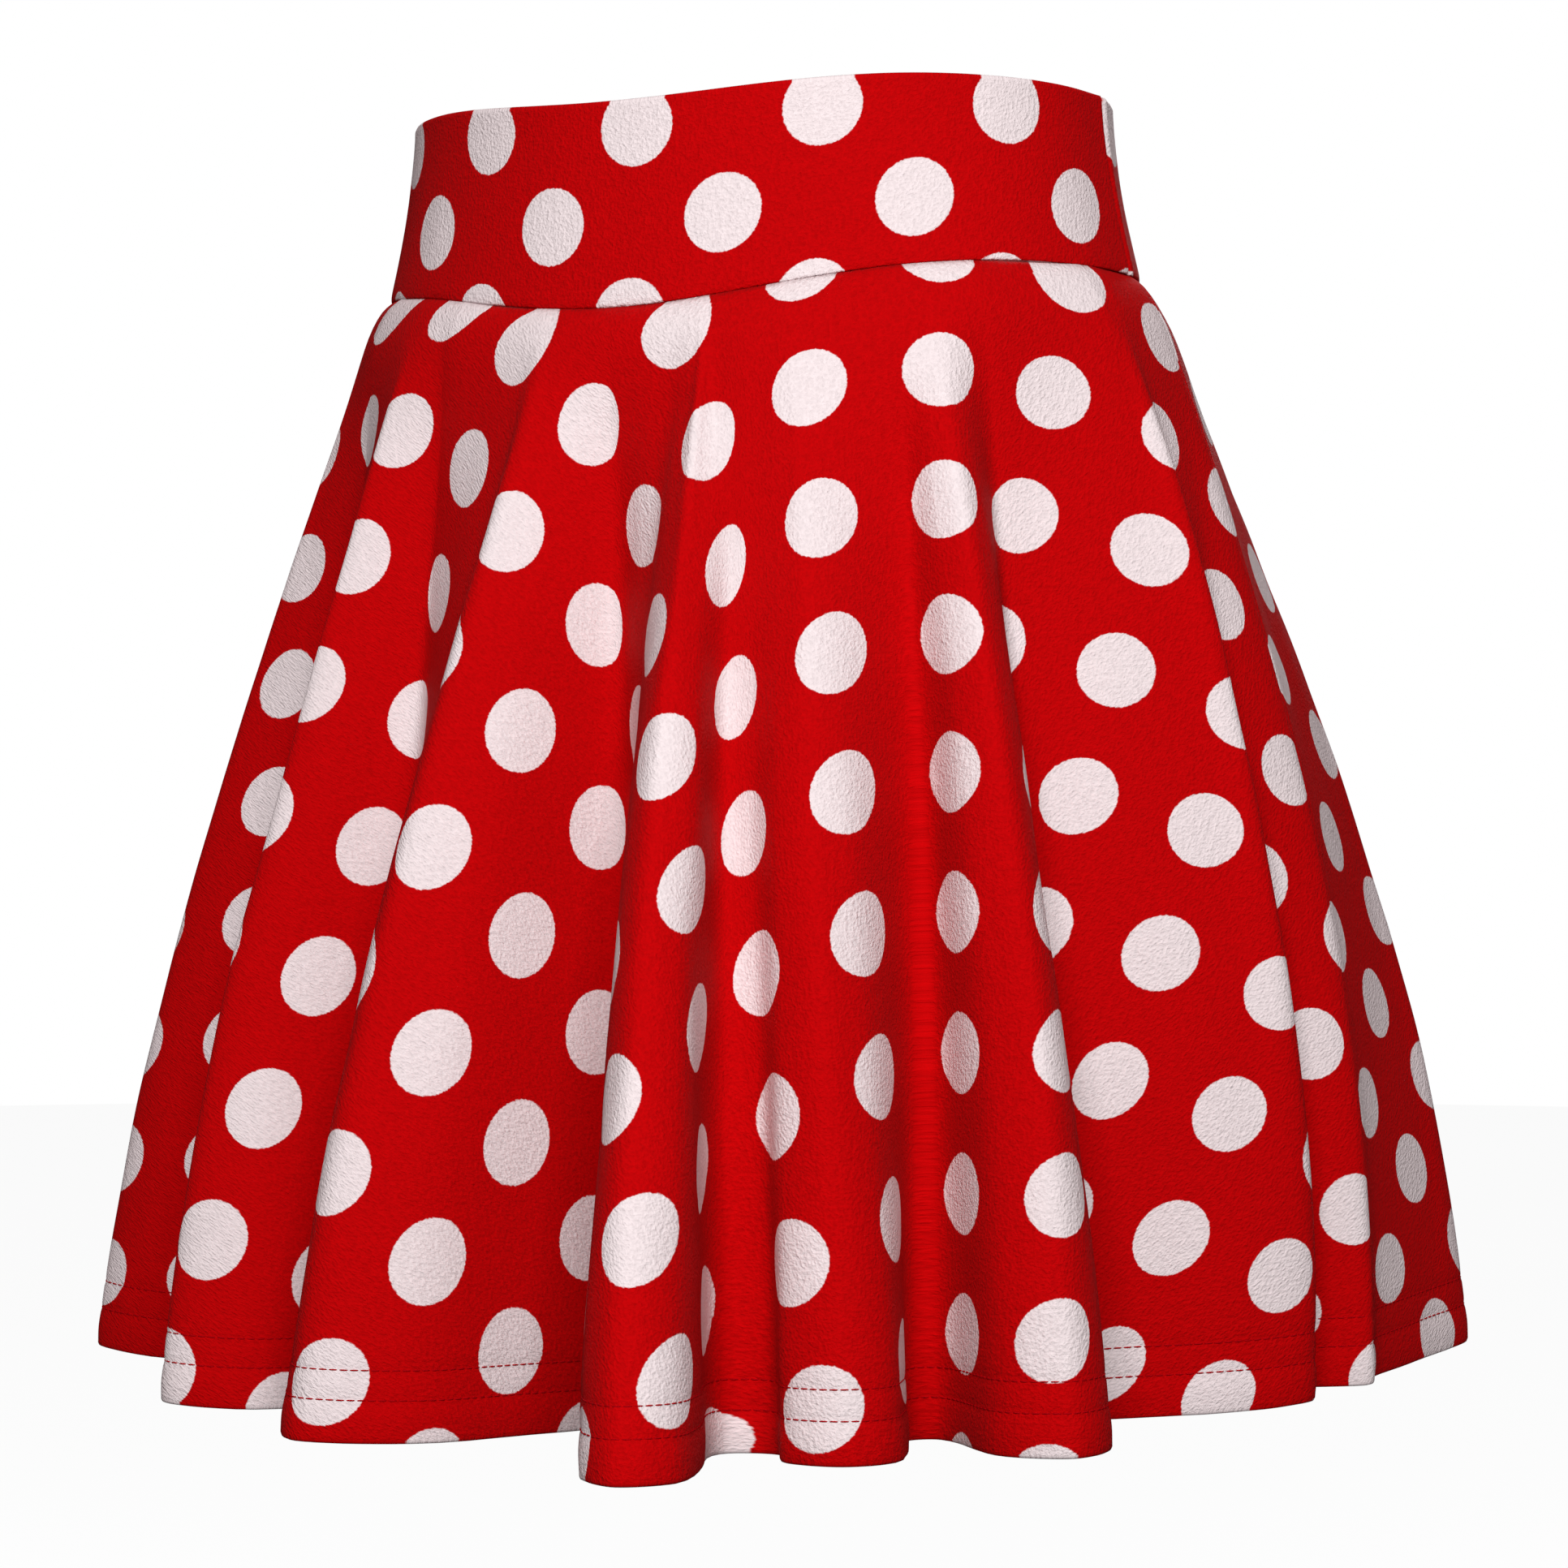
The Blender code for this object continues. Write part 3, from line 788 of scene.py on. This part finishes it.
class SKIRT_OT_waistband(bpy.types.Operator):
    """Make the front and back of the waistband, doubled over at the top edge"""
    bl_idname = "skirt.waistband"
    bl_label = "Waistband"

    def execute(self, context):
        sizes, colours = context.scene.skirt_sizes, context.scene.skirt_colours
        columns, half = BAND_COLUMNS, BAND_COLUMNS // 2
        shares = np.concatenate([np.linspace(*rows) for rows in BAND_ROWS])
        smooth = np.array([band_ring(share, columns) for share in shares])
        normals = outward(smooth)
        normals[0, :, 2], normals[-1, :, 2] = 0, 0
        seams = [0, half]
        moved = sum(ripples(smooth, across, down, seed) * tall
                    for across, down, seed, tall in BAND_RIPPLES)
        moved *= np.sin(np.pi * shares)[:, None]
        moved += near_seams(columns, seams, BAND_RIDGE_COLUMNS)[None, :] * BAND_RIDGE
        moved -= near_seams(columns, seams, BAND_GROOVE_COLUMNS)[None, :] * BAND_GROOVE
        moved -= BAND_CURL * np.exp(-(1 - shares) * BAND_HEIGHT / BAND_CURL_REACH)[:, None]
        rings = smooth + normals * moved[:, :, None]
        normals = outward(rings)
        walls = np.full(len(shares), BAND_WALL)
        material = dotted_knit("dotted_band_knit", sizes, colours)
        spans = {"waistband_front": range(0, half + 1),
                 "waistband_back": range(half, columns + 1)}
        for node, span in spans.items():
            grid, metres = flat_band(smooth, span, node == "waistband_back")
            piece = cloth_panel(node + "_cloth", node, rings[::-1],
                                normals[::-1], walls, grid[::-1], metres[::-1], span, material)
        return {"FINISHED"}


def stitch_row(points, normals, pitch, thickness):
    """Small spindles of thread along a line on the cloth: their points and faces."""
    sides = THREAD_SIDES
    steps = np.linalg.norm(np.diff(points, axis=0), axis=1)
    place = np.concatenate([[0.0], np.cumsum(steps)])
    made, faces = [], []
    for start in np.arange(pitch / 2, place[-1] - pitch, pitch):
        ends = [np.array([np.interp(spot, place, points[:, axis]) for axis in range(3)])
                for spot in (start, start + pitch * STITCH_SHARE)]
        up = np.array([np.interp(start, place, normals[:, axis]) for axis in range(3)])
        up /= np.linalg.norm(up)
        run = ends[1] - ends[0]
        side = np.cross(run, up)
        side /= np.linalg.norm(side)
        first = len(made)
        for along, swell in THREAD_SHAPE:
            centre = ends[0] + run * along + up * thickness * (
                THREAD_REST + THREAD_ARCH * math.sin(math.pi * along))
            around = sides if swell else 1
            for corner in range(around):
                turn = 2 * math.pi * corner / sides
                made.append(centre + (side * math.cos(turn) + up * math.sin(turn))
                            * swell * thickness / 2)
        rings = [first + 1 + sides * ring for ring in range(3)]
        tip = first + 1 + sides * 3
        for corner in range(sides):
            beside = (corner + 1) % sides
            faces.append((first, rings[0] + beside, rings[0] + corner))
            for here, there in zip(rings, rings[1:]):
                faces.append((here + corner, here + beside, there + beside, there + corner))
            faces.append((rings[2] + corner, rings[2] + beside, tip))
    return made, faces


class SKIRT_OT_hem_stitching(bpy.types.Operator):
    """Sew the two rows of stitches round the turned-up hem"""
    bl_idname = "skirt.hem_stitching"
    bl_label = "Hem stitching"

    def execute(self, context):
        sizes, colours = context.scene.skirt_sizes, context.scene.skirt_colours
        _, rings, normals, shares = skirt_cloth(sizes)
        material = sewing_thread(colours)
        columns = rings.shape[1]
        names = ("hem_stitching_front", "hem_stitching_back")
        for name, span in zip(names, panel_spans(columns)):
            cut = [column % columns for column in span]
            points, faces = [], []
            for height in (sizes.lower_stitch, sizes.upper_stitch):
                row = int(np.argmin(np.abs(shares - (1 - height / SKIRT_LENGTH))))
                made, sides = stitch_row(rings[row][cut], normals[row][cut],
                                         sizes.stitch_pitch, sizes.thread)
                faces += [tuple(corner + len(points) for corner in face) for face in sides]
                points += made
            mesh = bpy.data.meshes.new(name)
            mesh.from_pydata([tuple(point) for point in points], [], faces)
            dressed(name, mesh, None, material)
        return {"FINISHED"}


def white_room():
    """A white room: full white behind the skirt, and a softer light from it on the cloth."""
    room = Paint(bpy.data.worlds.new("white_room"), "Background")
    room.feed(room.shader, {"Color": WHITE, "Strength": ROOM_LIGHT})
    wall = room.node("ShaderNodeBackground", None, {"Color": WHITE})
    seen = room.node("ShaderNodeLightPath")
    either = room.node("ShaderNodeMixShader", None, {
        0: seen.outputs["Is Camera Ray"], 1: room.shader.outputs[0], 2: wall.outputs[0]})
    room.feed(room.tree.nodes["World Output"], {"Surface": either.outputs[0]})
    return room.owner


def aimed(name, data, azimuth, elevation, distance, height):
    """A light or the camera, turned towards a point at this height on the body's axis."""
    turn, rise = math.radians(azimuth), math.radians(elevation)
    away = Vector((math.sin(turn) * math.cos(rise), -math.cos(turn) * math.cos(rise),
                   math.sin(rise)))
    made = bpy.data.objects.new(name, data)
    made.location = Vector((0, 0, height)) + away * distance
    made.rotation_mode = "QUATERNION"
    made.rotation_quaternion = (-away).to_track_quat("-Z", "Y")
    bpy.context.scene.collection.objects.link(made)
    return made


def area_light(name, azimuth, elevation, distance, size, power):
    """A soft square light, aimed at the skirt's middle."""
    data = bpy.data.lights.new(name, "AREA")
    data.size, data.energy = size, power
    aimed(name, data, azimuth, elevation, distance, SEAM_Z - SKIRT_LENGTH / 2)


class SKIRT_OT_stage(bpy.types.Operator):
    """Make the pale floor, the white room, the soft lights and the camera"""
    bl_idname = "skirt.stage"
    bl_label = "Stage"

    def execute(self, context):
        points = [(FLOOR_RADIUS * math.cos(turn), FLOOR_RADIUS * math.sin(turn), FLOOR_Z)
                  for turn in np.linspace(0, 2 * math.pi, FLOOR_CORNERS, endpoint=False)]
        faces = [tuple(range(len(points)))]
        mesh = bpy.data.meshes.new("studio_floor")
        mesh.from_pydata(points, [], faces)
        mesh.materials.append(floor_paint(context.scene.skirt_colours))
        floor = bpy.data.objects.new("studio_floor", mesh)
        context.scene.collection.objects.link(floor)
        floor.visible_diffuse = False
        floor.visible_glossy = False
        context.scene.world = white_room()
        context.scene.view_settings.view_transform = "Standard"
        for values in LIGHT_ROWS:
            area_light(**dict(zip(LIGHT_COLUMNS, values)))
        data = bpy.data.cameras.new("camera")
        data.lens, data.sensor_width, data.shift_x = CAMERA_LENS, CAMERA_SENSOR, CAMERA_SHIFT
        context.scene.camera = aimed("camera", data, CAMERA_AZIMUTH, 0, CAMERA_DISTANCE,
                                     CAMERA_HEIGHT)
        return {"FINISHED"}


OPERATORS = (SKIRT_OT_stage, SKIRT_OT_waistband, SKIRT_OT_panels, SKIRT_OT_hem_stitching)


class SKIRT_PT_sidebar(bpy.types.Panel):
    """Sizes, colours and pieces of the skirt"""
    bl_idname = "SKIRT_PT_sidebar"
    bl_label = "Skirt"
    bl_space_type = "VIEW_3D"
    bl_region_type = "UI"
    bl_category = "Skirt"

    def draw(self, context):
        for group in (context.scene.skirt_sizes, context.scene.skirt_colours):
            for name in group.__annotations__:
                self.layout.prop(group, name)
        for operator in OPERATORS:
            self.layout.operator(operator.bl_idname)


CLASSES = (SkirtSizes, SkirtColours, *OPERATORS, SKIRT_PT_sidebar)


def register():
    for item in CLASSES:
        bpy.utils.register_class(item)
    bpy.types.Scene.skirt_sizes = bpy.props.PointerProperty(type=SkirtSizes)
    bpy.types.Scene.skirt_colours = bpy.props.PointerProperty(type=SkirtColours)


def unregister():
    del bpy.types.Scene.skirt_colours
    del bpy.types.Scene.skirt_sizes
    for item in reversed(CLASSES):
        bpy.utils.unregister_class(item)


def main():
    register()
    bpy.ops.skirt.stage()
    bpy.ops.skirt.waistband()
    bpy.ops.skirt.panels()
    bpy.ops.skirt.hem_stitching()


if __name__ == "__main__":
    main()
